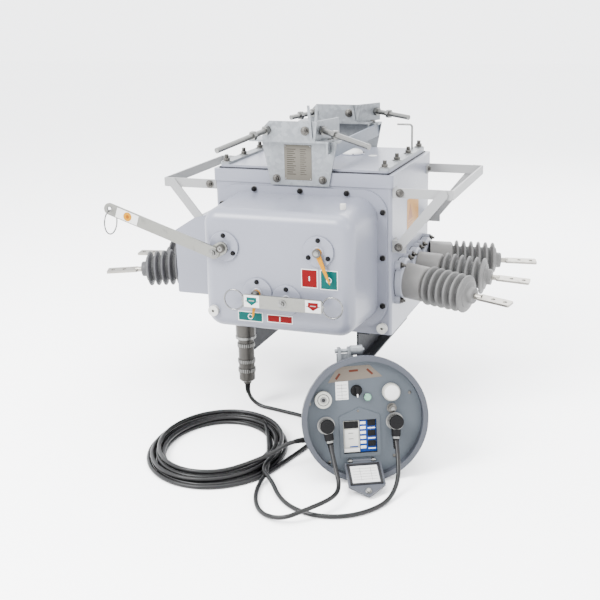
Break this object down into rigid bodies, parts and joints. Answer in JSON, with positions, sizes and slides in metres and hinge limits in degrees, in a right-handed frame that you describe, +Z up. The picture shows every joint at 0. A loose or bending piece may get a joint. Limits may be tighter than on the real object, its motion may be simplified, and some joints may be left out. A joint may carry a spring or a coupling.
{
  "type": "vacuum load break switch",
  "caption": "Pole-mounted vacuum load break switch: welded tank, deep mechanism cover with hand levers, fanned shedded bushings, crossarm clamps and a corded round controller.",
  "frame": {"origin": "on the seat of the front clamp, above the middle of the tank's front wall", "axes": "+Z up, out of the seat; +X to the right of the front; +Y from front to back"},
  "size_m": [1.4394, 1.346, 0.9927],
  "materials": {
    "painted_grey": "satin powder coat, light lilac grey",
    "guard_grey": "satin, light warm grey",
    "galvanised": "hot-dip galvanised, faint spangle",
    "beam_grey": "satin blue grey",
    "dark_steel": "satin dark grey",
    "zinc": "bright zinc",
    "bright_ring": "bright wire",
    "pointer_yellow": "gloss yellow",
    "silicone_grey": "matt silicone rubber",
    "tinned_copper": "tinned",
    "nylon_white": "satin nylon",
    "controller_blue": "satin blue grey",
    "module_blue": "satin",
    "black_plastic": "satin black",
    "cord_black": "satin black sheath"
  },
  "bodies": {
    "switch": {"boss_plates": "painted_grey", "bushing_left_front": "silicone_grey", "bushing_left_middle": "silicone_grey", "bushing_left_rear": "silicone_grey", "bushing_right_front": "silicone_grey", "bushing_right_middle": "silicone_grey", "bushing_right_rear": "silicone_grey", "cable_plug": "zinc", "cable_socket": "zinc", "clamp_front": "galvanised", "clamp_rear": "galvanised", "clamp_rods": "zinc", "collars_left": "galvanised", "collars_right": "galvanised", "controller_fittings": "nylon_white", "controller_hanger": "galvanised", "controller_panel": "controller_blue", "controller_plugs": "black_plastic", "controller_shell": "controller_blue", "cord_coil": "cord_black", "cord_feed": "cord_black", "cord_left": "cord_black", "cord_right": "cord_black", "cord_tail": "cord_black", "cover_vent": "painted_grey", "earth_studs": "nylon_white", "feet": "dark_steel", "flap_hinge": "zinc", "guard_arms_left": "guard_grey", "guard_arms_right": "guard_grey", "guard_bar_left": "guard_grey", "guard_bar_right": "guard_grey", "guard_braces_left": "guard_grey", "guard_braces_right": "guard_grey", "hanger_beams": "beam_grey", "hanger_front": "galvanised", "hanger_rear": "galvanised", "lid": "painted_grey", "lid_hook": "zinc", "lid_strips": "galvanised", "mechanism_cover": "painted_grey", "relay_modules": "module_blue", "side_chamber": "painted_grey", "tank": "painted_grey", "terminals_left": "tinned_copper", "terminals_right": "tinned_copper"},
    "charging_lever": {"charging_lever": "zinc", "lever_crank": "zinc"},
    "lever_ring": {"lever_ring": "bright_ring"},
    "trip_lever": {"trip_lever": "zinc", "trip_shaft": "zinc", "trip_ring_left": "bright_ring", "trip_ring_right": "bright_ring"},
    "position_pointer": {"position_pointer": "pointer_yellow"},
    "energy_pointer": {"energy_pointer": "pointer_yellow"},
    "controller_flap": {"controller_flap": "controller_blue"},
    "selector_knob": {"selector_knob": "black_plastic"}
  },
  "joints": [
    {"name": "charging_stroke", "type": "hinge", "parent": "switch", "child": "charging_lever", "pos_m": [-0.168, -0.242, -0.302], "axis": [0, -1, 0], "range_deg": [0, 65]},
    {"name": "ring_swing", "type": "hinge", "parent": "charging_lever", "child": "lever_ring", "pos_m": [-0.54593, -0.265, -0.20256], "axis": [0, -1, 0], "range_deg": [-100, 30]},
    {"name": "trip_rock", "type": "hinge", "parent": "switch", "child": "trip_lever", "pos_m": [0.035, -0.242, -0.458], "axis": [0, -1, 0], "range_deg": [-15, 15]},
    {"name": "position_turn", "type": "hinge", "parent": "switch", "child": "position_pointer", "pos_m": [0.141, -0.242, -0.298], "axis": [0, -1, 0], "range_deg": [-42, 0]},
    {"name": "energy_turn", "type": "hinge", "parent": "switch", "child": "energy_pointer", "pos_m": [-0.061, -0.242, -0.442], "axis": [0, -1, 0], "range_deg": [0, 45]},
    {"name": "flap_hinge", "type": "hinge", "parent": "switch", "child": "controller_flap", "pos_m": [0.35838, -0.51284, -0.82172], "axis": [0.891, 0.454, 0], "range_deg": [-120, 0]},
    {"name": "selector_turn", "type": "hinge", "parent": "switch", "child": "selector_knob", "pos_m": [0.33045, -0.47124, -0.62867], "axis": [0.4456, -0.8746, 0.1908], "range_deg": [-90, 90]}
  ]
}
